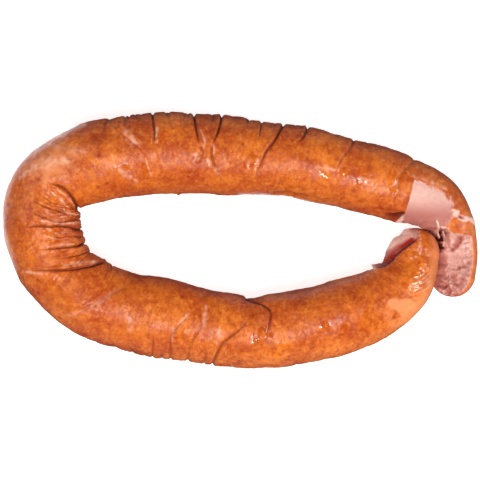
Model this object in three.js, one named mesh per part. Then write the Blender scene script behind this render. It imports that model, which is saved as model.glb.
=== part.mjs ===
// A smoked ring sausage that lies flat, bent round so that its two ends meet side by side.
//
// It is one piece. A straight stuffed sausage is lathed first, then torn at both ends, and then bent
// along the course of the ring. One end is broken open: its meat shows as a slanting face, with a
// crevice above it on the ring's inner side. The other end, the tip, has a groove torn along its
// inner side, with a lip of meat beyond it.
//
// Millimetres, +Z up. The sausage rests on z = 0, and the origin is under the middle of the ring.

import * as THREE from "three";

// The middle of the sausage and its radius, from the broken end, along the back, round the left bend
// and along the front to the tip: [x, y, radius].
const COURSE = [
  [112.6, -17.8, 12.4],
  [113.9, -12, 11.8],
  [113.4, -3, 12.3],
  [110.6, 6.8, 13.5],
  [104.6, 17.4, 15.2],
  [95.5, 23, 16.5],
  [86.5, 26.5, 17.5],
  [72, 31, 18.5],
  [57.5, 34.5, 18.5],
  [43.5, 38.5, 19],
  [28.5, 41.5, 19],
  [11, 43, 19.5],
  [-7, 44.5, 21],
  [-24.5, 45.5, 21],
  [-42.5, 46, 21.5],
  [-60.5, 44, 21.5],
  [-75, 41, 21.5],
  [-89, 36, 20],
  [-99, 29.5, 19.5],
  [-103.5, 22, 19.5],
  [-104.5, 13, 20.5],
  [-103, 1.5, 20.5],
  [-99, -10, 20],
  [-92.5, -19.5, 19.5],
  [-83, -27, 20.5],
  [-73, -33, 20.5],
  [-58.5, -37.5, 20.5],
  [-44, -40.5, 21],
  [-26.5, -44, 20],
  [-9, -47, 19.5],
  [6, -49, 18.5],
  [17.5, -48, 19.5],
  [29.5, -46, 19.5],
  [44, -43, 19.5],
  [58.5, -39, 19.5],
  [70, -34.5, 18.2],
  [79, -29, 17.3],
  [86, -22, 16.3],
  [90, -14.5, 14.6],
  [92.5, -6.5, 13],
];
const AXIS_HEIGHT = 0.94; // of the radius: the sausage sags a little and rests on a flat strip
const END_GAP = 0.6; // between the broken end and the tip that it lies against

// The break: [distance along the sausage, degrees round it that the torn face looks, the face's
// distance from the sausage's middle]. Degrees count from the top, and are negative towards the inside
// of the ring.
const BREAK = [
  [-14, -30, 1.6],
  [-5, -30, 2.4],
  [18, -30, 2.8],
  [21.5, -62, 6],
  [27, -74, 8],
  [32, -80, 14.5],
];

// The groove torn in the tip: where it starts, is deepest and ends, as [distance before the far end of
// the sausage, degrees round it], with its depth and half its width.
const GROOVE = [
  [20, -56],
  [4, -43],
  [-8, -24],
];
const GROOVE_DEPTH = 7;
const GROOVE_HALF_WIDTH = 2.6;

// The lip of meat beyond the groove stands out from the side of the tip.
const LIP_MIDDLE = 6; // before the far end of the sausage
const LIP_HALF_LENGTH = 13;
const LIP_ANGLE = -76;
const LIP_HALF_ANGLE = 24;
const LIP_OUT = 3;

const SIDES = 32;
const BODY_STEP = 5.6;
const END_STEP = 1.9;
const FINE_LENGTH = 34; // of the sausage at each end has the finer steps
const CAP_RINGS = 6; // on the round end past each end of the course

const course = new THREE.CatmullRomCurve3(
  COURSE.map(([x, y, radius]) => new THREE.Vector3(x, y, radius)), // the radius rides along as z
  false,
  "catmullrom",
  0.5,
);
course.arcLengthDivisions = 800;
const LENGTH = course.getLength();

// The sausage's middle, direction, outward side and radius at a distance along it.
function frameAt(distance) {
  const share = THREE.MathUtils.clamp(distance / LENGTH, 0, 1);
  const place = course.getPointAt(share);
  const slope = course.getTangentAt(share);
  const along = new THREE.Vector3(slope.x, slope.y, 0).normalize();
  return {
    middle: new THREE.Vector3(place.x, place.y, 0),
    along,
    outward: new THREE.Vector3(along.y, -along.x, 0),
    radius: place.z,
  };
}

// A value between the rows of a table whose first column increases.
function between(table, at, column) {
  const last = table.length - 1;
  if (at <= table[0][0]) return table[0][column];
  if (at >= table[last][0]) return table[last][column];
  const next = table.findIndex((row) => row[0] > at);
  const [before, after] = [table[next - 1], table[next]];
  const share = (at - before[0]) / (after[0] - before[0]);
  return THREE.MathUtils.lerp(before[column], after[column], share);
}

// 1 at the middle of a bump and 0 at its edges.
function bump(offset, halfWidth) {
  const share = Math.min(1, Math.abs(offset) / halfWidth);
  return (1 - share * share) ** 2;
}

// Distances and angles of the straight sausage's rings: [distance along it, radius].
function profile() {
  const rings = [];
  const start = frameAt(0).radius;
  for (let ring = 0; ring < CAP_RINGS; ring++) {
    const turn = (ring / CAP_RINGS) * (Math.PI / 2);
    rings.push([-start * Math.cos(turn), start * Math.sin(turn)]);
  }
  for (let at = 0; at < LENGTH; ) {
    rings.push([at, frameAt(at).radius]);
    const fine = at < FINE_LENGTH || at > LENGTH - FINE_LENGTH;
    at += fine ? END_STEP : BODY_STEP;
  }
  const end = frameAt(LENGTH).radius;
  for (let ring = 0; ring <= CAP_RINGS; ring++) {
    const turn = (ring / CAP_RINGS) * (Math.PI / 2);
    rings.push([LENGTH + end * Math.sin(turn), end * Math.cos(turn)]);
  }
  rings[0][1] = 0;
  rings[rings.length - 1][1] = 0;
  return rings.map(([at, radius]) => new THREE.Vector2(radius, at));
}

// The radius left by the break, on a ring at a distance along the sausage and an angle round it.
function broken(radius, at, angle) {
  const turn = THREE.MathUtils.degToRad(angle - between(BREAK, at, 1));
  const face = between(BREAK, at, 2);
  if (at > BREAK[BREAK.length - 1][0] || Math.cos(turn) <= 0) return radius;
  return Math.min(radius, face / Math.cos(turn));
}

// The radius after the groove and the lip at the tip.
function grooved(radius, at, angle) {
  const beforeEnd = LENGTH - at;
  const [first, , last] = GROOVE;
  if (beforeEnd > first[0] + LIP_HALF_LENGTH) return radius;
  const line = GROOVE.map(([before, round]) => [-before, round]);
  const across = THREE.MathUtils.degToRad(angle - between(line, -beforeEnd, 1)) * radius;
  const middle = (first[0] + last[0]) / 2;
  const depth =
    GROOVE_DEPTH *
    bump(beforeEnd - middle, (first[0] - last[0]) / 2) *
    bump(across, GROOVE_HALF_WIDTH * 1.6);
  const lip =
    LIP_OUT *
    bump(beforeEnd - LIP_MIDDLE, LIP_HALF_LENGTH) *
    bump(angle - LIP_ANGLE, LIP_HALF_ANGLE);
  return Math.max(radius - depth + lip, radius * 0.3);
}

// Points down the middle of the tip's last stretch, which the broken end lies against.
const tipMiddle = [];
for (let at = LENGTH - 45; at <= LENGTH; at += 2) {
  const { middle, radius } = frameAt(at);
  tipMiddle.push({ place: middle.clone().setZ(radius * AXIS_HEIGHT), radius });
}

// Moves a point of the broken end off the tip.
function clearOfTip(point) {
  for (const { place, radius } of tipMiddle) {
    const away = point.clone().sub(place);
    const short = radius + END_GAP - away.length();
    if (short > 0) point.add(away.setLength(short));
  }
  return point;
}

// Where a point of the straight sausage goes: torn, bent round the course and set down on z = 0.
function laidDown(point) {
  const at = point.y;
  const radiusHere = Math.hypot(point.x, point.z);
  const angle = THREE.MathUtils.radToDeg(Math.atan2(point.x, point.z));
  const radius = radiusHere > 0 ? grooved(broken(radiusHere, at, angle), at, angle) : 0;
  const { middle, along, outward, radius: full } = frameAt(at);
  const turn = THREE.MathUtils.degToRad(angle);
  const place = middle
    .clone()
    .addScaledVector(along, at - THREE.MathUtils.clamp(at, 0, LENGTH))
    .addScaledVector(outward, radius * Math.sin(turn))
    .setZ(full * AXIS_HEIGHT + radius * Math.cos(turn));
  if (at < LENGTH / 4) clearOfTip(place);
  return place.setZ(Math.max(0, place.z));
}

function sausageGeometry() {
  const geometry = new THREE.LatheGeometry(profile(), SIDES);
  const positions = geometry.getAttribute("position");
  const point = new THREE.Vector3();
  for (let i = 0; i < positions.count; i++) {
    point.fromBufferAttribute(positions, i);
    const { x, y, z } = laidDown(point);
    positions.setXYZ(i, x, y, z);
  }
  geometry.computeVertexNormals();
  return geometry;
}

const sausage = new THREE.Mesh(
  sausageGeometry(),
  new THREE.MeshStandardMaterial({ color: 0xc8642a, roughness: 0.35, metalness: 0 }),
);
sausage.name = "sausage";

const part = new THREE.Group();
part.add(sausage);

export default part;
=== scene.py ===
"""A smoked ring sausage lying on a pale floor, seen from straight above.

The sausage is one closed mesh. It is worked out in millimetres, as distances along the sausage and
degrees round it, and bent along the same course as the CAD part. Folds of the casing are drawn as
lines on the top, and pleats as places along the sausage. Degrees round it count from the top, and
are positive towards the outside of the ring.
"""

import math

import bpy
import numpy as np
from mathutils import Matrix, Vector


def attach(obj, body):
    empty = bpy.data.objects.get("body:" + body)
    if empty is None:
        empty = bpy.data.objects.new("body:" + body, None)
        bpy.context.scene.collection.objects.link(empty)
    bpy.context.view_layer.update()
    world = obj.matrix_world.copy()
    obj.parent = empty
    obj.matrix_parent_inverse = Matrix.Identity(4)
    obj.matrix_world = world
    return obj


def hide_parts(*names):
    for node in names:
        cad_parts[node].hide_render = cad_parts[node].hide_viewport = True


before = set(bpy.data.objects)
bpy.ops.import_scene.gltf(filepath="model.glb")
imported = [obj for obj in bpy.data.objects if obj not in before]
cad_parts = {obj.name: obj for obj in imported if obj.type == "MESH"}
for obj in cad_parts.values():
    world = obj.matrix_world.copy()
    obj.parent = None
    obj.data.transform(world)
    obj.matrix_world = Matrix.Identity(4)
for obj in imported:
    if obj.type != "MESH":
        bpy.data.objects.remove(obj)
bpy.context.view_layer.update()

MM = 0.001

# The middle of the sausage and its radius, from the broken end, along the back, round the left bend
# and along the front to the tip: x, y, radius.
COURSE = [
    (112.6, -17.8, 12.4), (113.9, -12, 11.8), (113.4, -3, 12.3), (110.6, 6.8, 13.5),
    (104.6, 17.4, 15.2), (95.5, 23, 16.5), (86.5, 26.5, 17.5), (72, 31, 18.5),
    (57.5, 34.5, 18.5), (43.5, 38.5, 19), (28.5, 41.5, 19), (11, 43, 19.5),
    (-7, 44.5, 21), (-24.5, 45.5, 21), (-42.5, 46, 21.5), (-60.5, 44, 21.5),
    (-75, 41, 21.5), (-89, 36, 20), (-99, 29.5, 19.5), (-103.5, 22, 19.5),
    (-104.5, 13, 20.5), (-103, 1.5, 20.5), (-99, -10, 20), (-92.5, -19.5, 19.5),
    (-83, -27, 20.5), (-73, -33, 20.5), (-58.5, -37.5, 20.5), (-44, -40.5, 21),
    (-26.5, -44, 20), (-9, -47, 19.5), (6, -49, 18.5), (17.5, -48, 19.5),
    (29.5, -46, 19.5), (44, -43, 19.5), (58.5, -39, 19.5), (70, -34.5, 18.2),
    (79, -29, 17.3), (86, -22, 16.3), (90, -14.5, 14.6), (92.5, -6.5, 13),
]
AXIS_HEIGHT = 0.94  # of the radius: the sausage sags a little and rests on a flat strip
END_GAP = 0.6  # between the broken end and the tip that it lies against

# The mesh
SIDES = 100
TOP_CROWDING = 0.52  # the sides are closer together on top than underneath
RING_STEPS = [  # distance along the sausage, and the distance between rings there
    (0, 0.44), (76, 0.46), (84, 0.58), (216, 0.52), (220, 0.9), (242, 0.9), (248, 0.5), (324, 0.5),
    (330, 0.72), (345, 0.54), (420, 0.54), (428, 0.85), (462, 0.85), (472, 0.46), (510, 0.44),
]
CAP_RINGS = 24


# --- Small helpers -----------------------------------------------------------------------------


def smooth(low, high, value):
    """0 below low, 1 above high, and smooth in between. low may be above high."""
    share = np.clip((value - low) / (high - low), 0, 1)
    return share * share * (3 - 2 * share)


def hump(value, middle, half_width):
    """1 at the middle, falling away like a bell."""
    return np.exp(-(((value - middle) / half_width) ** 2))


def ripples(points, size, seed, count=26):
    """Smooth random bumps of about that size, mostly from -1.5 to 1.5."""
    rng = np.random.default_rng(seed)
    directions = rng.normal(size=(count, 3))
    directions /= np.linalg.norm(directions, axis=1)[:, None]
    waves = directions * (2 * np.pi / size * rng.uniform(0.7, 1.4, count))[:, None]
    starts = rng.uniform(0, 2 * np.pi, count)
    return np.cos(points @ waves.T + starts).sum(-1) / math.sqrt(count / 2)


def curve_through(points, samples):
    """A smooth curve through the points: rows of places, evenly many in each span."""
    points = np.array(points, float)
    padded = np.vstack([2 * points[0] - points[1], points, 2 * points[-1] - points[-2]])
    t = np.linspace(0, 1, samples, endpoint=False)[:, None]
    spans = []
    for before, start, end, after in zip(padded, padded[1:], padded[2:], padded[3:]):
        leaving, arriving = (end - before) / 2, (after - start) / 2
        spans.append(
            (2 * t**3 - 3 * t**2 + 1) * start
            + (t**3 - 2 * t**2 + t) * leaving
            + (3 * t**2 - 2 * t**3) * end
            + (t**3 - t**2) * arriving
        )
    return np.vstack([*spans, points[-1:]])


def beside_line(x, y, line):
    """How far each place is from the line, how far along it (0 to 1), and on which side."""
    gap = np.full(x.shape, 1e9)
    share, side = np.zeros(x.shape), np.zeros(x.shape)
    steps = np.hypot(*np.diff(line, axis=0).T)
    passed = 0
    for (x0, y0), (x1, y1), step in zip(line, line[1:], steps):
        dx, dy = (x1 - x0) / step, (y1 - y0) / step
        along = np.clip((x - x0) * dx + (y - y0) * dy, 0, step)
        here = np.hypot(x - x0 - along * dx, y - y0 - along * dy)
        nearer = here < gap
        gap = np.where(nearer, here, gap)
        share = np.where(nearer, (passed + along) / steps.sum(), share)
        side = np.where(nearer, np.sign((x - x0) * dy - (y - y0) * dx), side)
        passed += step
    return gap, share, side


def depth_inside(x, y, outline):
    """How far inside the outline each place is. Negative outside it."""
    closed = np.array([*outline, outline[0]], float)
    gap = beside_line(x, y, closed)[0]
    inside = np.zeros(x.shape, bool)
    for (x0, y0), (x1, y1) in zip(closed, closed[1:]):
        if y0 != y1:
            crosses = ((y0 > y) != (y1 > y)) & (x < (x1 - x0) * (y - y0) / (y1 - y0) + x0)
            inside ^= crosses
    return np.where(inside, gap, -gap)


# --- The course of the sausage -----------------------------------------------------------------


class Course:
    """The sausage's middle, direction, outward side and radius at distances along it."""

    def __init__(self):
        self.rows = curve_through(COURSE, 40)
        steps = np.hypot(*np.diff(self.rows[:, :2], axis=0).T)
        self.distance = np.concatenate([[0], np.cumsum(steps)])
        self.length = self.distance[-1]
        slope = np.gradient(self.rows[:, :2], self.distance, axis=0)
        self.slope = slope / np.linalg.norm(slope, axis=1)[:, None]

    def at(self, distance):
        def column(values):
            return np.interp(distance, self.distance, values)

        middle = np.stack([column(self.rows[:, 0]), column(self.rows[:, 1])], -1)
        along = np.stack([column(self.slope[:, 0]), column(self.slope[:, 1])], -1)
        along /= np.linalg.norm(along, axis=-1)[..., None]
        return middle, along, column(self.rows[:, 2])


course = Course()
LENGTH = course.length


def rings():
    """Distances of the mesh's rings along the sausage, and the share of the full radius there."""
    start, end = course.rows[0, 2], course.rows[-1, 2]
    turns = np.linspace(0, np.pi / 2, CAP_RINGS, endpoint=False)[1:]
    fine = np.linspace(0, LENGTH, 5000)
    passed = np.cumsum(1 / np.interp(fine, *zip(*RING_STEPS)))
    passed = (passed - passed[0]) * (fine[1] - fine[0])
    body = np.interp(np.linspace(0, passed[-1], round(passed[-1])), passed, fine)
    places = [-start * np.cos(turns), body, LENGTH + end * np.sin(turns)]
    shares = [np.sin(turns), np.ones(len(body)), np.cos(turns)]
    return np.concatenate(places), np.concatenate(shares)


def angles():
    """Degrees round the sausage of the mesh's sides, from -180 up, closer together on top."""
    turn = np.linspace(-np.pi, np.pi, SIDES, endpoint=False)
    return np.degrees(turn - TOP_CROWDING * np.sin(turn))


def placed(at, angle, radius):
    """Where points go, in millimetres: at a distance along the sausage, angle and radius."""
    middle, along, full = course.at(np.clip(at, 0, LENGTH))
    past = at - np.clip(at, 0, LENGTH)
    turn = np.radians(angle)
    out = radius * np.sin(turn)
    x = middle[..., 0] + along[..., 0] * past + along[..., 1] * out
    y = middle[..., 1] + along[..., 1] * past - along[..., 0] * out
    z = full * AXIS_HEIGHT + radius * np.cos(turn)
    return np.stack([x, y, z], -1)


# --- Folds and pleats of the casing ------------------------------------------------------------

# Folds seen from above: half width, depth, how much one side laps over the other (-1 to 1), and the
# line's points. Each fades along its line. One that starts beyond the edge comes up the side.
FOLDS = [
    # the inner side of the left bend
    (0.68, 2.0, -0.9, [(-84, 14.5), (-87.4, 22.4), (-92.5, 27.4), (-100.5, 30.4)]),
    (0.5, 0.9, -0.5, [(-90, 14.5), (-95, 15.5), (-102, 18), (-107, 20.5)]),
    (0.5, 1.2, -0.5, [(-84, 11.5), (-92, 9.4), (-97.5, 10), (-103, 12.6), (-109.5, 15)]),
    (0.56, 1.4, -0.6, [(-83, 5.6), (-92, 7.4), (-97.5, 7), (-104, 7.4), (-115.3, 6)]),
    (0.5, 0.9, -0.4, [(-82, 2), (-88, 2.2), (-94, 1.6), (-100, 3)]),
    (0.56, 1.4, -0.6, [(-79, -0.6), (-85.6, -3.2), (-92.5, -4), (-103.5, -5)]),
    (0.68, 1.9, 1, [(-70, -10.6), (-78.2, -13.4), (-88.9, -15.3), (-97.6, -15.8), (-104, -16),
                     (-113.5, -15)]),
    (0.5, 1.0, -0.5, [(-76, -5), (-82, -7), (-89, -9), (-96, -9.4)]),
    (0.5, 0.8, -0.2, [(-70, -20), (-69, -14), (-70, -10)]),
    # the outer side of the back arm
    (0.56, 0.5, 0.8, [(-69.5, 65), (-67, 61), (-60.8, 55.1), (-53.4, 48.8), (-47.7, 42.6),
                     (-44.3, 31)]),
    (0.56, 0.9, 0.4, [(-60.4, 69), (-60.2, 64), (-59.3, 55)]),
    (0.62, 1.6, 0.5, [(-46.2, 70), (-45.4, 64), (-44.2, 56), (-44.4, 47)]),
    (0.5, 0.7, 0.3, [(-37.8, 70), (-36.8, 64), (-36.2, 58)]),
    (0.68, 1.8, -0.3, [(-24.6, 70), (-23.4, 62), (-21.2, 51), (-19, 47.6)]),
    (0.56, 1.2, 0.6, [(-20.5, 49), (-19, 45), (-22.4, 38)]),
    (0.5, 0.5, 0.6, [(-22, 60), (-18, 53), (-16, 46)]),
    (0.68, 1.8, 0.3, [(-9, 70), (-10.8, 58), (-14.7, 48.3)]),
    (0.56, 1.3, -0.6, [(-14.6, 49.5), (-14.6, 42.6), (-12.2, 36.5), (-9.6, 31)]),
    (0.62, 1.2, 0.3, [(11.8, 66), (11, 59), (9.4, 51)]),
    (0.68, 1.8, 0.6, [(25.4, 66), (20.6, 57), (17.4, 51.2), (13.5, 45.8), (11.1, 39.6),
                     (7.3, 31)]),
    (0.68, 1.5, 0.6, [(37, 63), (33.6, 55), (29.6, 50.2)]),
    (0.5, 0.4, 0.8, [(30, 50), (24, 45), (18, 41)]),
    (0.74, 1.0, 0.5, [(62, 57), (57.5, 48.5), (51.6, 40.5), (50.2, 34)]),
    (1.1, 0.8, 0.4, [(95, 47), (90.7, 41.5), (84.2, 35.5), (80.2, 26.3), (75.6, 17.8)]),
    (0.5, 0.5, 0.3, [(0.4, 29.6), (-4.6, 24.6)]),
    # the inner side of the back arm
    (0.62, 1.2, -0.8, [(16, 24.6), (24, 24.6), (32.2, 23.6), (39.4, 22.2), (49, 19)]),
    (0.5, 0.6, 0.8, [(22, 25.4), (31, 26.6), (42, 26.2)]),
    (0.56, 0.9, -0.8, [(71, 15.5), (76, 15.6), (82, 15.4), (88, 13)]),
    (1.5, 2.0, 0, [(86, 12.6), (83.6, 12.9), (79.6, 12.2), (74, 13.2)]),
    # the front arm
    (0.99, 0.8, 0.6, [(-58.4, -23.6), (-69.5, -29.2), (-77.3, -34.4), (-87, -38)]),
    (0.5, 1.0, 0.4, [(-46.6, -64), (-45, -55), (-44.8, -48)]),
    (0.56, 1.1, 0.5, [(-36.6, -66), (-36.2, -56), (-35.6, -50), (-31.8, -44.2), (-24.6, -37)]),
    (0.56, 1.0, 0.5, [(-28, -66), (-25.4, -54), (-19.9, -44.2), (-16, -35)]),
    (0.5, 1.0, 0.3, [(-20, -68), (-16.6, -57)]),
    (0.68, 1.4, 0.6, [(-16, -69), (-11.2, -57.9), (-7.8, -52.6), (-0.3, -46.4), (6.4, -39)]),
    (0.5, 0.7, 0.2, [(-6.8, -52), (-6.8, -62)]),
    (0.7, 1.5, 0.4, [(2, -29.5), (6, -31.6), (11.7, -33.6), (15.3, -36.1), (15.8, -40.2),
                     (14.6, -46), (12.4, -53)]),
    (0.5, 0.6, 0.2, [(29.3, -44.6), (29.3, -50)]),
    (0.5, 0.6, 0.2, [(22, -48.6), (22.1, -58)]),
    (0.5, 0.4, -0.8, [(42.4, -30.5), (45.4, -34), (49.4, -38.8)]),
]

# Pleats across the sausage: distance along it, from and to which angle, half width, depth.
PLEATS = [
    (211.8, 40, 120, 0.83, 1.0), (203.7, 60, 130, 0.75, 1.2), (197.8, 60, 120, 0.68, 0.8),
    (193.1, 70, 130, 0.68, 0.9), (184.9, 60, 130, 0.68, 0.9), (177.7, 50, 120, 0.6, 0.6),
    (175.0, 60, 130, 0.68, 1.0), (162.7, 55, 130, 0.68, 0.9), (150.5, 70, 120, 0.6, 0.5),
    (144.4, 60, 130, 0.75, 1.2), (130.5, 65, 125, 0.6, 0.6), (119.5, 70, 120, 0.6, 0.5),
    (101.5, 65, 120, 0.68, 0.6), (80.5, 65, 120, 0.68, 0.4),
    (329.1, 65, 130, 0.75, 0.6), (337.7, 65, 130, 0.75, 0.7), (346.9, 60, 130, 0.75, 0.9),
    (351.6, 65, 130, 0.68, 0.8), (363.3, 60, 130, 0.68, 0.9), (376.5, 65, 130, 0.68, 0.6),
    (397.0, 60, 120, 0.68, 0.5), (426.0, 60, 120, 0.68, 0.5), (440.0, 60, 120, 0.68, 0.4),
    (269.4, -130, -72, 0.68, 1.0), (278.4, -130, -66, 0.75, 1.4), (284.5, -130, -74, 0.6, 0.6),
    (291.4, -130, -66, 0.75, 1.3), (303.3, -130, -70, 0.68, 0.8), (320.2, -130, -70, 0.75, 0.9),
]

# The taut wrinkles across the tip, side by side: the first and last line of the bundle.
TIP_WRINKLES = 9
TIP_WRINKLE_HALF_WIDTH = 0.55
TIP_WRINKLE_FIRST = [(88, -17.5), (94.5, -15.6), (101, -12.5)]
TIP_WRINKLE_LAST = [(86, -30.5), (93.5, -29.4), (101, -25)]

FINE_WRINKLES = [(2.7, 5), (4.6, 6)]  # distance between them, seed
FINE_WRINKLE_HEIGHT = 0.3
LUMPS = [(28, 0.2, 21), (11, 0.07, 22), (5, 0.05, 23), (2.6, 0.03, 24)]  # size, height, seed


def fold_shape(gap, share, side, width, depth, lap):
    """How far a fold moves the casing in or out, and the painted shade at its bottom.

    It is widest and deepest where its line starts, with a low ridge on each side of the rest.
    """
    start = smooth(0, 0.06, share)
    spread = width * (1.15 - 0.5 * share)
    fade = start * smooth(1.03, 0.6, share)
    valley = fade / (1 + (gap / (1.1 * spread)) ** 2) ** 2
    # Painted shade along the bottom of the valley
    dark = fade * np.exp(-((gap / spread) ** 2)) * smooth(0.4, 1.9, depth)
    ridge = np.exp(-(((gap - 2 * spread) / (1.2 * spread)) ** 2)) * start * smooth(1, 0.8, share)
    ridge *= (0.2 + 0.3 * lap * side) * smooth(0, 0.4, share)
    return depth * (ridge - valley), dark


def add_folds(x, y, angle, out, shades):
    """Presses the folds into the casing, and paints shade along their bottoms."""
    on_top = smooth(-0.75, -0.35, np.cos(np.radians(angle)))
    for width, depth, lap, points in FOLDS:
        line = curve_through(points, 6)
        reach = 7 * width
        low, high = line.min(0) - reach, line.max(0) + reach
        near = (x > low[0]) & (x < high[0]) & (y > low[1]) & (y < high[1]) & (on_top > 0)
        moved, dark = fold_shape(*beside_line(x[near], y[near], line), width, depth, lap)
        out[near] += moved * on_top[near]
        shades["crease_shade"][near] = np.maximum(shades["crease_shade"][near], dark * on_top[near])


def add_tip_wrinkles(x, y, out):
    """Presses the bundle of taut wrinkles into the tip."""
    first, last = np.array(TIP_WRINKLE_FIRST), np.array(TIP_WRINKLE_LAST)
    for i in range(TIP_WRINKLES):
        share = i / (TIP_WRINKLES - 1)
        line = curve_through(first + (last - first) * share, 6)
        gap, along, _ = beside_line(x, y, line)
        ends = smooth(0, 0.25, along) * smooth(1, 0.75, along)
        depth = 0.2 + 0.16 * (i % 3)
        out -= depth * ends * np.exp(-((gap / TIP_WRINKLE_HALF_WIDTH) ** 2))


def add_pleats(at, angle, points, out, shades):
    """Presses the pleats into the sides, wandering a little along the sausage, and paints shade in
    them.
    """
    wander = 1.3 * ripples(points, 16, seed=3)
    for place, start, end, width, depth in PLEATS:
        gap = at - place - wander
        reach = smooth(start - 12, start + 12, angle) * smooth(end + 30, end - 10, angle)
        out -= depth * reach / (1 + (gap / (1.2 * width)) ** 2) ** 1.5
        # Painted shade in the bottom of the pleat
        dark = np.exp(-((gap / width) ** 2)) * reach * min(1, depth / 1.5)
        shades["crease_shade"] = np.maximum(shades["crease_shade"], dark)


def add_fine_wrinkles(at, angle, points, out):
    """Fine wrinkles across the sausage, close together inside the bend and outside the arms."""
    bend = smooth(242, 254, at) * smooth(312, 300, at) * smooth(48, -18, angle)
    back = smooth(112, 126, at) * smooth(216, 200, at) * smooth(22, 50, angle)
    front = smooth(330, 350, at) * smooth(470, 420, at) * smooth(15, 40, angle)
    under = smooth(150, 110, np.abs(angle))
    for size, seed in FINE_WRINKLES:
        phase = 2 * np.pi * at / size + 2.6 * ripples(points, 15, seed=seed)
        crest = np.sqrt(np.abs(np.cos(phase / 2)) + 0.02)
        strength = 0.5 + 0.5 * ripples(points, 12, seed=seed + 10)
        amount = bend * 2.3 + (back * 0.5 + front * 0.45) * smooth(105, 75, angle)
        height = FINE_WRINKLE_HEIGHT * (crest - 0.7)
        out += height * amount * under * np.clip(strength, 0, 1.2)


def add_lumps(points, out):
    """The uneven stuffing under the casing."""
    for size, height, seed in LUMPS:
        out += height * ripples(points, size, seed=seed)


# --- The broken end ----------------------------------------------------------------------------

# Distance along the sausage, degrees round it that the torn face looks, and the face's distance
# from the sausage's middle.
BREAK = [
    (-14, -30, 1.6), (-5, -30, 2.4), (18, -30, 2.8), (21.5, -62, 6), (27, -74, 8), (32, -80, 14.5),
]

# Where the casing has come away on top, seen from above.
BARE_PATCH = [
    (90.6, 31), (94.6, 30.4), (99.2, 28.2), (104, 26), (107.6, 24.2), (110, 21.8),
    (110.8, 18.6), (110.8, 15.5), (112.3, 12.6), (109.2, 9.6), (108.6, 7), (109.6, 2),
    (106.3, -6), (98, -4), (84.6, 7),
]
CUT = (83.4, 9.8)  # the patch's edge towards the back arm is a clean cut through here
CUT_ACROSS = (0.92, -0.39)
CRACK = [(108.6, 15.4), (112.4, 14.2), (115.4, 11.6), (118.6, 11), (124, 9.4), (128, 8.2)]
CRACK_HOLE = (115.8, 12)
PATCH_DEPTH = 0.4
PATCH_END = 62  # along the sausage: beyond it is the tip, which may lie under the same outline
CRACK_LIP_HEIGHT = 0.5
CRACK_HOLE_DEPTH = 1.5

# Pits in the torn face: x, y, half width, depth
FACE_PITS = [
    (115.9, 0.4, 1.6, 1.3), (115, -1.2, 1.5, 1.4), (113.9, -3, 1.4, 1.2), (112.5, -5, 1.3, 0.7),
    (115.4, -14.5, 1.1, 1.1), (118.4, -14.2, 1, 0.9), (120.4, -12, 0.9, 0.7),
    (112.6, -19.5, 1.3, 0.7), (108.6, -24.4, 1.8, 1.1), (114.6, -23.6, 1.1, 0.8),
    (117, -20.5, 1, 0.6), (106.6, -22, 1.4, 0.9), (111, -26.4, 1.2, 0.7),
]
FACE_HOLLOW = (114.4, -2)  # the middle of the hollow with a raised rim, near the face's upper end
FACE_HOLLOW_RADIUS = 2.9
FACE_INNER_EDGE = [(103, -30), (106, -20), (107.5, -6), (107, 3)]  # where the face meets the tip


def breaking(at, angle, radius):
    """The radius left by the break, and how much of the stuffing it lays bare, 0 to 1."""
    table = np.array(BREAK, float)
    looks = np.interp(at, table[:, 0], table[:, 1])
    face = np.interp(at, table[:, 0], table[:, 2])
    facing = np.cos(np.radians(angle - looks))
    limit = np.where(
        (facing > 0.05) & (at < table[-1, 0]), face / np.maximum(facing, 0.05), 1e9
    )
    return np.minimum(radius, limit), smooth(0.05, 0.5, radius - limit)


def add_bare_patch(at, points, out, shades):
    """The smooth patch of meat where the casing has come away, and the crack beyond it."""
    x, y = points[..., 0], points[..., 1]
    ragged = 0.5 * ripples(points, 4.5, seed=41) + 0.3 * ripples(points, 2, seed=42)
    depth = depth_inside(x, y, BARE_PATCH)
    torn_side = smooth(3, 6, (x - CUT[0]) * CUT_ACROSS[0] + (y - CUT[1]) * CUT_ACROSS[1])
    here = (at < PATCH_END).astype(float)
    clean = smooth(-0.15, 0.15, depth) * here
    torn = smooth(-0.9, 1.4, depth + ragged) * here
    patch = clean * (1 - torn_side) + torn * torn_side
    out -= PATCH_DEPTH * patch
    shades["bare"] = np.maximum(shades["bare"], patch)
    # Painted shade: the bare patch darker and redder towards the tip beside it
    shades["red"] = np.maximum(
        shades["red"], patch * (0.12 + 0.38 * smooth(24, 12, y) * smooth(-18, 6, y))
    )
    gap, share, _ = beside_line(x, y, curve_through(CRACK, 8))
    crack = here * smooth(0, 0.15, share)
    lips = crack * np.exp(-(((gap + 0.6 * ragged) / (2 - 0.9 * share)) ** 2))
    hole = here * np.exp(
        -(((x - CRACK_HOLE[0]) / 1.5) ** 2) - ((y - CRACK_HOLE[1] + 0.3 * (x - 116)) / 0.8) ** 2
    )
    out += CRACK_LIP_HEIGHT * lips - CRACK_HOLE_DEPTH * hole
    shades["bare"] = np.maximum(shades["bare"], smooth(0.35, 0.6, lips))
    # Painted shade: the crack's hole painted dark red
    shades["red"] = np.maximum(shades["red"], hole)


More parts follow.
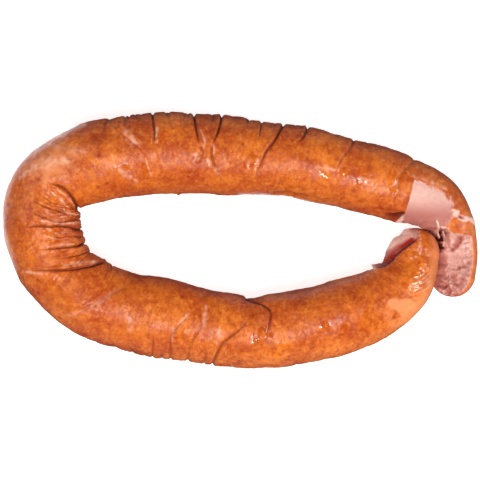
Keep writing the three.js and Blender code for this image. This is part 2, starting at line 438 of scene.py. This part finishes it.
def add_face_detail(points, torn, across, shades):
    """Crumbles and pits the torn stuffing, in and out of its face, and paints shade in its hollows
    and beside the tip.
    """
    x, y = points[..., 0], points[..., 1]
    crumbs = np.maximum(smooth(-13, -20, y), smooth(115.5, 118.5, x) * 0.8)
    crumbs = torn * (0.3 + 0.7 * crumbs)
    detail = 0.3 * ripples(points, 9, seed=30) + crumbs * (
        0.5 * ripples(points, 4.6, seed=31) + 0.34 * ripples(points, 2.2, seed=32)
    )
    rim_x, rim_y = FACE_HOLLOW
    rim = 0.7 * np.exp(-((np.hypot(x - rim_x, (y - rim_y) * 0.7) - FACE_HOLLOW_RADIUS) ** 2))
    red = np.zeros(torn.shape)
    for pit_x, pit_y, width, depth in FACE_PITS:
        pit = np.exp(-((np.hypot(x - pit_x, y - pit_y) / width) ** 2))
        detail -= depth * pit
        # Pits painted dark red: partly the meat's colour, partly painted shade
        red = np.maximum(red, 0.75 * pit**0.7)
    shades["red"] = np.maximum(shades["red"], red * torn)
    # Painted shade in the hollows of the lower, crumbly part
    shades["red"] = np.maximum(
        shades["red"], torn * 0.5 * smooth(0.2, -1, detail) * smooth(-12, -20, y)
    )
    edge_x, edge_y = zip(*FACE_INNER_EDGE)
    # Darker red on the face's lower part, and painted shade beside the tip
    beside_tip = smooth(4.5, 0, x - np.interp(y, edge_y, edge_x))
    inner = 0.24 * smooth(-4, -10, y) + 0.28 * beside_tip
    shades["red"] = np.maximum(shades["red"], torn * inner * smooth(4, 0, y))
    shades["crumbly"] = np.maximum(shades["crumbly"], crumbs)
    return points + across * ((detail + rim) * torn)[..., None]


# --- The tip -----------------------------------------------------------------------------------

# The torn part of the tip's inner side, seen from above, and the edge of the casing above it.
TORN_TIP = [
    (67.6, -16.4), (68.4, -8), (73, -4), (75, 3), (80, 8), (86, 13), (92, 12), (93.6, 7),
    (93.8, 2.4), (92.9, -0.3), (89.9, -2.4), (85.6, -5.5), (82.1, -8.7), (80, -11.3),
    (76.4, -14), (72, -15.6),
]
CASING_EDGE = [
    (94.4, 7), (93.6, 2.4), (92.9, -0.3), (89.9, -2.4), (85.6, -5.5), (82.1, -8.7), (80, -11.3),
    (76.4, -14), (72, -15.6), (67.6, -16.6),
]
GROOVE_DEPTH = 3.6
GROOVE_FLOOR = (2.2, 4.4)  # from the casing's edge to where the floor starts to rise, and has risen
GROOVE_PIT = (83.4, 3.8)  # the deepest place
LIP_POINT = (486.6, -84)  # where the torn lip ends in a point, along and round the sausage
LIP_HALF_ANGLE = 22
LIP_OUT = 0.9
LIP_POINT_OUT = 1.9  # more at its point

# Small beads of fat on the tip, raised and painted pale as highlights: x, y, half width
DRIPS = [
    (94.4, 4.4, 0.5), (94.5, 2.6, 0.45), (94.8, 0.6, 0.5), (94.3, -1.4, 0.45), (94.2, -3.2, 0.6),
    (93.2, -4.6, 0.5), (95, -5, 0.5), (94.2, -6.8, 0.5), (92, -8.6, 0.5), (89.6, -9.4, 0.5),
]
DRIP_HEIGHT = 0.7


def add_groove(angle, points, out, shades):
    """Tears the tip's inner side open: deepest under the casing's edge, rising to the lip."""
    x, y = points[..., 0], points[..., 1]
    on_top = smooth(-0.6, -0.3, np.cos(np.radians(angle))) * (angle < 75)
    inside = smooth(-0.25, 0.3, depth_inside(x, y, TORN_TIP)) * on_top
    gap, share, _ = beside_line(x, y, curve_through(CASING_EDGE, 6))
    ends = smooth(0, 0.3, share) * smooth(1, 0.74, share)
    rise = smooth(*GROOVE_FLOOR, gap)
    out -= inside * (0.1 + 0.9 * ends) * GROOVE_DEPTH * (smooth(0, 0.9, gap) - rise)
    pit_x, pit_y = GROOVE_PIT
    out -= 2 * hump(np.hypot(x - pit_x, y - pit_y), 0, 2.6) * inside
    out += 0.25 * inside * rise * ripples(points, 6, seed=51)
    shades["bare"] = np.maximum(shades["bare"], smooth(0.3, 0.7, inside))
    # Dark red under the casing's edge: the meat's colour there, and painted shade in the groove
    red = smooth(5, 3, gap) * (0.3 + 0.7 * smooth(0.1, 0.3, share)) * smooth(0.96, 0.76, share)
    shades["red"] = np.maximum(shades["red"], inside * red)


def add_lip(at, angle, out):
    """The lip of meat beyond the groove, standing out from the side and ending in a point."""
    place, round_it = LIP_POINT
    past = at - place
    rise = smooth(-0.9, 0.5, past) * smooth(34, 18, past) * hump(angle, round_it, LIP_HALF_ANGLE)
    out += (LIP_OUT + LIP_POINT_OUT * smooth(13, 0, past)) * rise


def add_drips(x, y, out, shades):
    """Beads the fat on the tip, painted pale as highlights."""
    for drip_x, drip_y, width in DRIPS:
        drip = np.exp(-((np.hypot(x - drip_x, y - drip_y) / width) ** 2))
        out += DRIP_HEIGHT * drip
        shades["bare"] = np.maximum(shades["bare"], 0.8 * drip)


# The crevice in the broken end, beside the tip.
CREVICE = (107, 0.2)  # its middle, seen from above
CREVICE_HALF_WIDTH = 1.9
CREVICE_HALF_LENGTH = 5.2
CREVICE_DEPTH = 7
STRANDS = [  # pale strands of meat beside the crevice and across it
    [(103, 9.9), (103.9, 7.1), (104.6, 4), (105.6, 1.3)],
    [(105.5, 6.8), (107.5, 6.5), (109.1, 5.8), (111.4, 3.4)],
    [(106.9, 4.5), (108.1, 0.8), (107.8, -2.9)],
]
STRAND_HALF_WIDTH = 0.6
STRAND_HEIGHT = 0.9


def clear_of_tip(points):
    """Moves points of the broken end off the tip that it lies against."""
    for place in np.arange(LENGTH - 45, LENGTH + 1, 1.5):
        middle, _, full = course.at(np.array(min(place, LENGTH)))
        centre = np.array([*middle, full * AXIS_HEIGHT])
        away = points - centre
        far = np.linalg.norm(away, axis=-1)
        points = points + away * (np.maximum(0, full + END_GAP - far) / far)[..., None]
    return points


def with_crevice(points):
    """Sinks the crevice and raises its strands. Says how deep and how near a strand points are."""
    x, y = points[..., 0], points[..., 1]
    strands = np.zeros(x.shape)
    for line in STRANDS:
        gap = beside_line(x, y, curve_through(line, 5))[0]
        strands = np.maximum(strands, np.exp(-((gap / STRAND_HALF_WIDTH) ** 2)))
    ragged = ripples(points, 4, seed=71)
    across = (x - CREVICE[0] + 0.5 * ragged) / (CREVICE_HALF_WIDTH + 0.4 * ragged)
    along = (y - CREVICE[1]) / (CREVICE_HALF_LENGTH + ragged)
    on_top = smooth(4, 12, points[..., 2])
    strands *= on_top
    sunk = np.exp(-(across**2) - along**4) * on_top * (1 - strands)
    points = points.copy()
    points[..., 2] += STRAND_HEIGHT * strands - CREVICE_DEPTH * sunk
    return points, smooth(0.2, 0.7, sunk), smooth(0.3, 0.7, strands)


# --- Shades of the casing ----------------------------------------------------------------------

# What the material reads at each point, 0 to 1
SHADES = ("crease_shade", "bare", "crumbly", "red", "smooth_and_sheen", "smoke_and_shade", "shiny", "pale")

# Painted highlights: pale streaks on the ridges beside the folds and across the tip's wrinkles:
# half width, strength, points
HIGHLIGHT_STREAKS = [
    # round the left bend
    (2.6, 0.4, [(-113.5, 33), (-106.5, 37.5), (-98.5, 40.5), (-89.5, 41)]),
    (1.6, 0.2, [(-100, 50), (-90, 47.5), (-80, 46)]),
    (0.6, 0.55, [(-98, 25), (-94, 22), (-89.4, 17)]),
    (0.6, 0.5, [(-94.6, 26.2), (-90, 22.4), (-86, 17.8)]),
    (0.5, 0.5, [(-102, 15.8), (-96.6, 12.6), (-90, 12)]),
    (0.7, 0.5, [(-92, 14.6), (-84.8, 13.2)]),
    (0.9, 0.5, [(-102, 9.6), (-93, 8.8), (-84, 9)]),
    (0.6, 0.45, [(-100, 6), (-93.4, 2.6)]),
    (0.5, 0.4, [(-101, 2), (-94, 0.4)]),
    (0.6, 0.45, [(-100, -3.6), (-92, -2.4), (-86.6, -2.2)]),
    (0.9, 0.55, [(-92, -13.4), (-83, -12), (-75, -11)]),
    (0.8, 0.35, [(-113.5, -16.4), (-107, -17), (-100, -17.6)]),
    # the back arm
    (1.6, 0.45, [(-59.4, 57), (-56, 52.4), (-52, 49.5)]),
    (0.5, 0.5, [(-48.8, 42), (-47.3, 36.8), (-45.6, 33)]),
    (1.5, 0.35, [(-64, 37.8), (-59.6, 34.4), (-54, 31)]),
    (0.8, 0.45, [(-43.2, 59), (-43.4, 53), (-42.6, 49.8)]),
    (0.6, 0.35, [(-20.4, 57), (-18.2, 51), (-19, 47.6)]),
    (1.0, 0.6, [(-21.8, 46.6), (-22.8, 43), (-23.8, 40.2)]),
    (0.6, 0.6, [(-13.6, 48.8), (-13.6, 44.6)]),
    (0.9, 0.45, [(-17.2, 42), (-15.8, 38)]),
    (0.6, 0.5, [(-13, 38.8), (-11, 34.2)]),
    (0.7, 0.5, [(4, 38), (5.4, 42.8)]),
    (0.7, 0.45, [(8, 36.8), (9.6, 42)]),
    (1.4, 0.35, [(39.5, 38), (50, 36)]),
    (1.1, 0.35, [(59, 32.2), (69.6, 30.8)]),
    (0.7, 0.5, [(77.6, 27.6), (82.2, 29.6)]),
    (1.5, 0.3, [(90, 33), (99, 30.6), (108, 26.5)]),
    # the front arm
    (0.8, 0.4, [(-17.6, -34), (-18.6, -42), (-22.4, -47.4)]),
    (0.9, 0.35, [(-26.3, -38), (-34, -46), (-35.4, -52.6)]),
    (0.9, 0.3, [(-10.4, -44.6), (-12, -54)]),
    (1.2, 0.22, [(-89, -38.6), (-82, -37), (-73.4, -32.8), (-63, -26)]),
    (1.2, 0.25, [(-58, -38), (-56, -43), (-57, -47)]),
    # across the tip
    (0.5, 0.45, [(89, -21), (94, -19.4), (98.4, -16)]),
    (0.5, 0.5, [(88.4, -22.8), (94, -21.2), (99.2, -17.6)]),
    (0.5, 0.45, [(88, -24.6), (94.4, -23), (99.8, -19.4)]),
    (0.5, 0.45, [(89, -26.4), (95, -24.8), (100, -21.4)]),
    (0.5, 0.35, [(90, -28.2), (96, -26.6), (100, -23.4)]),
]

# Where the casing is smooth and pale, and on the left bend (the last two) painted sheen: x, y, half
# width, strength, half width of the spot's edge
SMOOTH_AND_SHEEN_SPOTS = [
    (84.6, -34.6, 5.5, 0.9, 1.2), (79, -38.6, 4, 0.4, 1.2), (-99, 38, 6.5, 0.75, 4.5),
    (-91.6, 41, 5, 0.65, 4),
]
# Where the casing is moist and shiny: x, y, half width
SHINY_SPOTS = [
    (-60.4, 34, 4), (-48, 37, 2.5), (-44.4, 51, 3), (6.9, 41, 5), (45.4, 37, 4.5), (54, 34.5, 2.5),
    (64, 31.5, 4.5), (80, 28.7, 4), (25.5, 26, 4), (-86, -12, 4), (-96.9, 3.7, 4), (-94, 24, 4),
    (-88, 14, 6), (-95, -2, 3), (-96.6, -23, 3), (-30, -50, 3), (8, -54, 4), (20.5, -56.5, 3.5),
    (12.7, -48, 3), (45, -46, 4), (54.3, -46, 2.5), (68, -42, 6), (82, -44, 7), (94, -21, 8),
]
# Dark red bruises, and painted shade at the inner edge beside the bare patch (the last three): x,
# y, half width, strength
BRUISES_AND_SHADE = [
    (-74.2, 51.4, 3.6, 0.75), (-73, 43.6, 1.8, 0.6), (-66, 52, 2.4, 0.3), (78, 12.6, 2.2, 0.8),
    (81, 12, 2.6, 0.95), (83.6, 11.6, 2.4, 0.95),
]
# Sides darkened by smoke and by painted shade: distances along the sausage, degrees round it where
# it starts, strength
SMOKED_AND_SHADED_SIDES = [
    (15, 240, 46, 0.85), (318, 450, -44, 0.6), (285, 350, 58, 0.5), (40, 250, -14, 0.22),
    (242, 350, 6, 0.26),
]
PAINTED_SIDE_SHADE = 0.34  # painted shade: how strongly both sides are darkened all along


def add_casing_shades(at, angle, points, shades):
    """Where the casing is darkened by smoke and painted shade, bruised, smooth and pale, painted
    with sheen and lit bands, or shiny.
    """
    x, y = points[..., 0], points[..., 1]
    uneven = ripples(points, 8, seed=61)
    # Painted shade: both sides darker all along, and more on the sides listed, where less light
    # falls
    shades["smoke_and_shade"] = PAINTED_SIDE_SHADE * smooth(48, 84, np.abs(angle)) * smooth(478, 450, at)
    for start, end, edge, strength in SMOKED_AND_SHADED_SIDES:
        side = smooth(0, 40, np.abs(angle) - abs(edge)) * (angle * edge > 0)
        along = smooth(start, start + 25, at) * smooth(end, end - 50, at)
        shades["smoke_and_shade"] = np.maximum(shades["smoke_and_shade"], strength * side * along)
    # The last three are painted shade at the inner edge beside the bare patch
    for spot_x, spot_y, width, strength in BRUISES_AND_SHADE:
        spot = strength * np.exp(-((np.hypot(x - spot_x, y - spot_y) / width) ** 2))
        shades["smoke_and_shade"] = np.maximum(shades["smoke_and_shade"], spot)
    for spot_x, spot_y, width, strength, edge in SMOOTH_AND_SHEEN_SPOTS:
        beside = np.hypot(x - spot_x, y - spot_y) + 1.6 * uneven
        spot = strength * smooth(width + edge, width - edge, beside)
        shades["smooth_and_sheen"] = np.maximum(shades["smooth_and_sheen"], spot)
    for spot_x, spot_y, width in SHINY_SPOTS:
        spot = smooth(1.5 * width, 0.5 * width, np.hypot(x - spot_x, y - spot_y) + uneven)
        shades["shiny"] = np.maximum(shades["shiny"], spot)
    # Painted light: paler bands on the outer sides of the tip and of the broken end, which face the
    # right lamp
    beside_tip = smooth(30, 52, angle) * smooth(468, 482, at) * smooth(120, 70, angle)
    beside_face = smooth(20, 60, angle) * smooth(34, 18, at)
    shades["smooth_and_sheen"] = np.maximum.reduce([shades["smooth_and_sheen"], 0.65 * beside_tip, 0.35 * beside_face])


def add_painted_highlights(angle, points, shades):
    """Paints pale streaks as highlights beside the folds and across the tip."""
    x, y = points[..., 0], points[..., 1]
    uneven = ripples(points, 3, seed=81)
    on_top = smooth(-0.1, 0.2, np.cos(np.radians(angle)))
    broken_up = np.clip(0.95 + 0.5 * ripples(points, 3.5, seed=82), 0.2, 1.4) * on_top
    for width, strength, streak in HIGHLIGHT_STREAKS:
        gap, share, _ = beside_line(x, y, curve_through(streak, 5))
        width_here = width * (0.5 + 2 * share * (1 - share)) * (1 + 0.4 * uneven)
        near = np.exp(-((gap / np.maximum(width_here, 0.25)) ** 2))
        shades["pale"] = np.maximum(shades["pale"], strength * near * broken_up)


# --- The mesh ----------------------------------------------------------------------------------

# Small nubs of casing that stand out from the side: distance along, degrees round, height
NUBS = [(177.7, -88, 0.9), (314.5, -84, 1.1)]


def sausage_points():
    """The mesh's points in millimetres, ring by ring, and the named shades at each point.

    It also gives each point's distance along, angle and place on the straight, unbent sausage.
    """
    at, share = rings()
    at, angle = np.meshgrid(at, angles(), indexing="ij")
    full = course.at(np.clip(at, 0, LENGTH))[2]
    radius = full * share[:, None]
    top = placed(at, angle, radius)
    x, y = top[..., 0], top[..., 1]
    out = np.zeros(at.shape)
    shades = {name: np.zeros(at.shape) for name in SHADES}
    add_casing_shades(at, angle, top, shades)
    add_painted_highlights(angle, top, shades)
    add_lumps(top, out)
    for place, round_it, height in NUBS:
        out += height * hump(at, place, 1) * hump(angle, round_it, 4)
    add_fine_wrinkles(at, angle, top, out)
    add_pleats(at, angle, top, out, shades)
    add_folds(x, y, angle, out, shades)
    out *= 1 - 0.8 * shades["smooth_and_sheen"]
    add_tip_wrinkles(x, y, out)
    add_drips(x, y, out, shades)
    add_groove(angle, top, out, shades)
    add_lip(at, angle, out)
    add_bare_patch(at, top, out, shades)
    broken, torn = breaking(at, angle, radius)
    shades["bare"] = np.maximum(shades["bare"], torn)
    out *= (1 - torn) * np.minimum(1, radius / 6)
    radius = np.maximum(broken + out, 0.15 * radius)
    points = placed(at, angle, radius)
    looks = np.interp(at, *np.array(BREAK, float).T[:2])
    across = placed(at, looks, np.ones(at.shape)) - placed(at, looks, np.zeros(at.shape))
    points = add_face_detail(points, torn, across, shades)
    near_tip = at[:, 0] < LENGTH / 4
    points[near_tip], crevice, strands = with_crevice(clear_of_tip(points[near_tip]))
    # The crevice is painted dark as shade, except on the strands
    for name in ("crease_shade", "red"):
        shades[name][near_tip] = np.maximum(shades[name][near_tip], crevice) * (1 - strands)
    points[..., 2] = np.maximum(points[..., 2], 0)
    turn = np.radians(angle)
    straight = np.stack([radius * np.sin(turn), at, radius * np.cos(turn)], -1)
    return at, angle, points, straight, shades


def sausage_faces(ring_count):
    """Corner numbers of the mesh's faces: quads between rings, and triangles round each pole."""
    ring = np.arange(ring_count - 1)[:, None] * SIDES
    side = np.arange(SIDES)[None, :]
    after = (side + 1) % SIDES
    quads = np.stack([ring + side, ring + after, ring + SIDES + after, ring + SIDES + side], -1)
    first_pole, last_pole = ring_count * SIDES, ring_count * SIDES + 1
    side, after = side[0], after[0]
    last = (ring_count - 1) * SIDES
    start = np.stack([np.full(SIDES, first_pole), after, side], -1)
    end = np.stack([np.full(SIDES, last_pole), last + side, last + after], -1)
    return [*quads.reshape(-1, 4).tolist(), *start.tolist(), *end.tolist()]


def add_bake_map(mesh, at, angle):
    """A UV map in two rows, each half the sausage long, so that the baked maps are even."""
    along = (at - at.min()) / (at.max() - at.min()) * 2
    round_it = (angle + 180) / 360
    uv = np.zeros((len(mesh.loops), 2), np.float32)
    corner = np.zeros(len(mesh.loops), np.int32)
    mesh.loops.foreach_get("vertex_index", corner)
    ring_of = np.minimum(corner // SIDES, at.shape[0] - 1)
    side_of = corner % SIDES
    flat_along, flat_round = along[:, 0][ring_of], round_it[0][side_of]
    face_of = np.repeat(np.arange(len(mesh.polygons)), [len(p.vertices) for p in mesh.polygons])
    wraps = np.zeros(len(mesh.polygons), bool)
    np.logical_or.at(wraps, face_of, side_of == SIDES - 1)
    flat_round = np.where(wraps[face_of] & (side_of < SIDES / 2), flat_round + 1, flat_round)
    middle = np.zeros(len(mesh.polygons))
    np.add.at(middle, face_of, flat_along)
    middle /= np.bincount(face_of)
    row = (middle > 1).astype(float)[face_of]
    uv[:, 0] = 0.01 + 0.98 * np.clip(flat_along - row, -0.01, 1.01)
    uv[:, 1] = 0.01 + 0.48 * flat_round + 0.5 * row
    mesh.uv_layers.new(name="OFBake").data.foreach_set("uv", uv.ravel())


def make_sausage():
    at, angle, points, straight, shades = sausage_points()
    start_pole = points[0].mean(0)
    end_pole = points[-1].mean(0)
    vertices = np.vstack([points.reshape(-1, 3), start_pole, end_pole]) * MM
    mesh = bpy.data.meshes.new("sausage_skin_and_meat")
    mesh.from_pydata(vertices.tolist(), [], sausage_faces(len(at)))
    mesh.shade_smooth()
    for name, values in shades.items():
        full = np.concatenate([values.ravel(), [values[0].mean(), values[-1].mean()]])
        attribute = mesh.attributes.new(name, "FLOAT", "POINT")
        attribute.data.foreach_set("value", np.clip(full, 0, 1).astype(np.float32))
    unbent = np.vstack([straight.reshape(-1, 3), straight[0].mean(0), straight[-1].mean(0)]) * MM
    attribute = mesh.attributes.new("unbent", "FLOAT_VECTOR", "POINT")
    attribute.data.foreach_set("vector", unbent.astype(np.float32).ravel())
    add_bake_map(mesh, at, angle)
    piece = bpy.data.objects.new("whole_sausage", mesh)
    bpy.context.collection.objects.link(piece)
    return piece


# --- Materials ---------------------------------------------------------------------------------


def linear(red, green, blue):
    """A colour given as 0 to 255 on a screen, as the shader wants it."""
    parts = [c / 255 for c in (red, green, blue)]
    return (*[c / 12.92 if c <= 0.04045 else ((c + 0.055) / 1.055) ** 2.4 for c in parts], 1)


class Nodes:
    """Short ways to add shader nodes to a material."""

    def __init__(self, name):
        self.material = bpy.data.materials.new(name)
        self.material.use_nodes = True
        self.tree = self.material.node_tree
        self.shader = self.tree.nodes["Principled BSDF"]
        self.place = self.tree.nodes.new("ShaderNodeTexCoord").outputs["Object"]
        self.unbent = self.tree.nodes.new("ShaderNodeAttribute")
        self.unbent.attribute_name = "unbent"

    def link(self, source, socket):
        self.tree.links.new(source, socket)

    def noise(self, size_mm, detail=2, roughness=0.5, stretch=None):
        node = self.tree.nodes.new("ShaderNodeTexNoise")
        node.inputs["Scale"].default_value = 1 / (size_mm * MM)
        node.inputs["Detail"].default_value = detail
        node.inputs["Roughness"].default_value = roughness
        self.link(self.stretched(stretch) if stretch else self.place, node.inputs["Vector"])
        return node.outputs["Fac"]

    def cells(self, size_mm):
        node = self.tree.nodes.new("ShaderNodeTexVoronoi")
        node.inputs["Scale"].default_value = 1 / (size_mm * MM)
        self.link(self.place, node.inputs["Vector"])
        return node.outputs["Distance"]

    def stretched(self, scale):
        """Places on the straight, unbent sausage, whose length runs along y."""
        node = self.tree.nodes.new("ShaderNodeMapping")
        node.inputs["Scale"].default_value = scale
        self.link(self.unbent.outputs["Vector"], node.inputs["Vector"])
        return node.outputs["Vector"]

    def shade(self, name):
        node = self.tree.nodes.new("ShaderNodeAttribute")
        node.attribute_name = name
        return node.outputs["Fac"]

    def range(self, source, low, high, to_low=0.0, to_high=1.0):
        node = self.tree.nodes.new("ShaderNodeMapRange")
        self.link(source, node.inputs["Value"])
        for socket, value in (
            ("From Min", low), ("From Max", high), ("To Min", to_low), ("To Max", to_high)
        ):
            node.inputs[socket].default_value = value
        return node.outputs["Result"]

    def maths(self, operation, first, second):
        node = self.tree.nodes.new("ShaderNodeMath")
        node.operation = operation
        for socket, value in zip(node.inputs, (first, second)):
            if isinstance(value, (int, float)):
                socket.default_value = value
            else:
                self.link(value, socket)
        return node.outputs["Value"]

    def mixed(self, share, first, second):
        """first where share is 0, and second where it is 1. Each is a colour or a socket."""
        node = self.tree.nodes.new("ShaderNodeMix")
        node.data_type = "RGBA"
        self.link(share, node.inputs[0])
        for socket, value in ((node.inputs[6], first), (node.inputs[7], second)):
            if isinstance(value, tuple):
                socket.default_value = value
            else:
                self.link(value, socket)
        return node.outputs[2]

    def bumped(self, height, distance_mm, under=None):
        node = self.tree.nodes.new("ShaderNodeBump")
        node.inputs["Strength"].default_value = 1
        node.inputs["Distance"].default_value = distance_mm * MM
        self.link(height, node.inputs["Height"])
        if under:
            self.link(under, node.inputs["Normal"])
        return node.outputs["Normal"]


def casing_colour(n):
    """Smoked casing: orange to brown, mottled, with red-brown specks, smooth pale spots, painted
    sheen and highlights, and painted shade on its sides.
    """
    blotches = n.range(n.noise(17, 3, 0.5), 0.36, 0.66)
    colour = n.mixed(blotches, linear(218, 114, 36), linear(182, 74, 20))
    mottle = n.range(n.noise(5, 4, 0.62), 0.45, 0.68)
    colour = n.mixed(n.maths("MULTIPLY", mottle, 0.6), colour, linear(150, 43, 10))
    pale = n.range(n.noise(3.4, 4, 0.65), 0.5, 0.7)
    colour = n.mixed(n.maths("MULTIPLY", pale, 0.5), colour, linear(234, 136, 56))
    streaks = n.range(n.noise(1.6, 3, 0.6, (0.22, 1, 0.22)), 0.5, 0.72)
    colour = n.mixed(n.maths("MULTIPLY", streaks, 0.42), colour, linear(166, 60, 20))
    patches = n.range(n.noise(9, 2), 0.4, 0.6, 0.15, 0.62)
    grains = n.range(n.noise(1.5, 2, 0.65), 0.48, 0.66)
    colour = n.mixed(n.maths("MULTIPLY", grains, patches), colour, linear(152, 50, 14))
    flecks = n.range(n.noise(1.9, 2, 0.5, (1, 1, 0.9)), 0.52, 0.68)
    colour = n.mixed(n.maths("MULTIPLY", flecks, 0.24), colour, linear(246, 154, 70))
    specks = n.maths(
        "MULTIPLY", n.range(n.cells(5.4), 0.3, 0.1), n.range(n.noise(11, 2), 0.5, 0.58)
    )
    colour = n.mixed(n.maths("MULTIPLY", specks, 0.6), colour, linear(142, 36, 18))
    # Smooth pale casing, and painted sheen and lit bands
    colour = n.mixed(n.maths("MULTIPLY", n.shade("smooth_and_sheen"), 0.7), colour, linear(246, 158, 102))
    # Smoke colour, and painted shade on the sides
    colour = n.mixed(n.maths("MULTIPLY", n.shade("smoke_and_shade"), 0.8), colour, linear(128, 26, 8))
    # The pale shade is painted highlight
    return n.mixed(n.shade("pale"), colour, linear(250, 190, 160))


def meat_colour(n):
    """Bare cured meat: pale pink, with mauve grain where it is torn, and dark red in its tears,
    where the red shade also holds painted shade.
    """
    grain = n.range(n.noise(1.9, 5, 0.7), 0.42, 0.58)
    strength = n.range(n.shade("crumbly"), 0, 1, 0.14, 0.9)
    grain = n.maths("MULTIPLY", grain, strength)
    colour = n.mixed(grain, linear(236, 190, 174), linear(178, 104, 98))
    # The red shade: the meat's own red, and painted shade in pits, hollows, the groove and beside
    # the tip
    colour = n.mixed(n.range(n.shade("red"), 0, 0.5), colour, linear(178, 110, 98))
    return n.mixed(n.range(n.shade("red"), 0.5, 0.95), colour, linear(148, 32, 14))


def skin_and_meat():
    n = Nodes("smoked_casing_and_meat")
    bare = n.shade("bare")
    colour = n.mixed(bare, casing_colour(n), meat_colour(n))
    # Painted shade: the creases, pleats and crevice darkened towards dark brown
    dark = n.maths("MULTIPLY", n.shade("crease_shade"), 0.92)
    n.link(n.mixed(dark, colour, linear(88, 20, 8)), n.shader.inputs["Base Color"])
    gloss = n.range(n.noise(8, 3, 0.6), 0.35, 0.65, 0.38, 0.48)
    gloss = n.maths("SUBTRACT", gloss, n.maths("MULTIPLY", n.shade("shiny"), 0.32))
    gloss = n.maths("ADD", gloss, n.maths("MULTIPLY", n.shade("crease_shade"), 0.3))
    n.link(n.maths("ADD", gloss, n.maths("MULTIPLY", bare, 0.1)), n.shader.inputs["Roughness"])
    wrinkles = n.bumped(n.noise(2.3, 1, 0.5, (0.3, 1, 0.3)), 0.3)
    n.link(n.bumped(n.noise(3.2, 2, 0.5), 0.3, under=wrinkles), n.shader.inputs["Normal"])
    n.shader.inputs["Subsurface Weight"].default_value = 0.1
    n.shader.inputs["Subsurface Radius"].default_value = (1, 0.35, 0.2)
    n.shader.inputs["Subsurface Scale"].default_value = 2.5 * MM
    return n.material


def pale_material(name, grey, glow):
    """A plain material that glows white."""
    n = Nodes(name)
    n.shader.inputs["Base Color"].default_value = (grey, grey, grey, 1)
    n.shader.inputs["Roughness"].default_value = 0.8
    n.shader.inputs["Emission Color"].default_value = (1, 1, 1, 1)
    n.shader.inputs["Emission Strength"].default_value = glow
    return n.material


# --- The scene round it ------------------------------------------------------------------------

CAMERA_HEIGHT = 1.15
FRAME_WIDTH = 0.2525  # seen at half the sausage's height
HALF_HEIGHT = 0.02
SENSOR_WIDTH = 36

FLOOR_HALF = 30  # so wide that low views show no edge
FLOOR_GREY = 0.6
FLOOR_GLOW = 0.8
# Cards at the outer side of the left bend, and along the back arm's inner side, in metres
CARDS = [(-0.17, -0.09, -0.02, 0.09), (0, 0.09, 0.011, 0.03)]  # left, right, front, back
CARD_HEIGHT = 0.0005
CARD_GLOW = 2.4

WORLD_STRENGTH = 0.04
LIGHTS = [  # name, place, size, watts, whether it is reflected
    ("overhead", (0, -0.6, 1.45), (1.3, 1.0), 21.3, False),
    ("key", (-0.05, -0.35, 1.1), (0.2, 0.14), 5.2, True),
    ("left", (-0.7, 0.42, 0.75), (0.45, 0.4), 2, True),
    ("right", (0.9, -0.04, 0.52), (0.2, 0.2), 3, True),
    ("low_front", (0, -1.2, 0.25), (1.6, 0.3), 1, False),
]


def add_camera():
    data = bpy.data.cameras.new("camera")
    data.sensor_width = SENSOR_WIDTH
    data.lens = SENSOR_WIDTH * (CAMERA_HEIGHT - HALF_HEIGHT) / FRAME_WIDTH
    camera = bpy.data.objects.new("camera", data)
    camera.location = (0, 0, CAMERA_HEIGHT)
    bpy.context.collection.objects.link(camera)
    bpy.context.scene.camera = camera


def add_light(name, place, size, power, reflected):
    """A softbox that faces the sausage. One that isn't reflected only lights it, with no gloss."""
    data = bpy.data.lights.new(name, "AREA")
    data.shape = "RECTANGLE"
    data.size, data.size_y = size
    data.energy = power
    light = bpy.data.objects.new(name, data)
    light.visible_glossy = reflected
    light.location = place
    light.rotation_euler = (-Vector(place)).to_track_quat("-Z", "Y").to_euler()
    bpy.context.collection.objects.link(light)


def add_sheet(name, left, right, front, back, height, material):
    """A flat sheet of the set, in metres."""
    mesh = bpy.data.meshes.new(name)
    corners = [(left, front), (right, front), (right, back), (left, back)]
    mesh.from_pydata([(x, y, height) for x, y in corners], [], [(0, 1, 2, 3)])
    mesh.materials.append(material)
    sheet = bpy.data.objects.new(name, mesh)
    bpy.context.collection.objects.link(sheet)
    return sheet


def add_floor():
    half = FLOOR_HALF
    material = pale_material("pale_floor", FLOOR_GREY, FLOOR_GLOW)
    floor = add_sheet("floor", -half, half, -half, half, 0, material)
    floor.visible_glossy = False


def add_cards():
    """White cards on the floor that are seen only as reflections, low on the sausage's sides."""
    material = pale_material("white_card", 0, CARD_GLOW)
    for number, sides in enumerate(CARDS):
        card = add_sheet(f"card_{number}", *sides, CARD_HEIGHT, material)
        card.visible_camera = False
        card.visible_diffuse = False
        card.visible_shadow = False


def set_world():
    world = bpy.data.worlds.new("studio")
    world.use_nodes = True
    background = world.node_tree.nodes["Background"]
    background.inputs["Color"].default_value = (1, 1, 1, 1)
    background.inputs["Strength"].default_value = WORLD_STRENGTH
    bpy.context.scene.world = world


add_camera()
add_floor()
add_cards()
set_world()
for light in LIGHTS:
    add_light(*light)
bpy.context.scene.view_settings.view_transform = "Standard"

sausage = make_sausage()
sausage.data.materials.append(skin_and_meat())
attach(sausage, "root")
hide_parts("sausage")
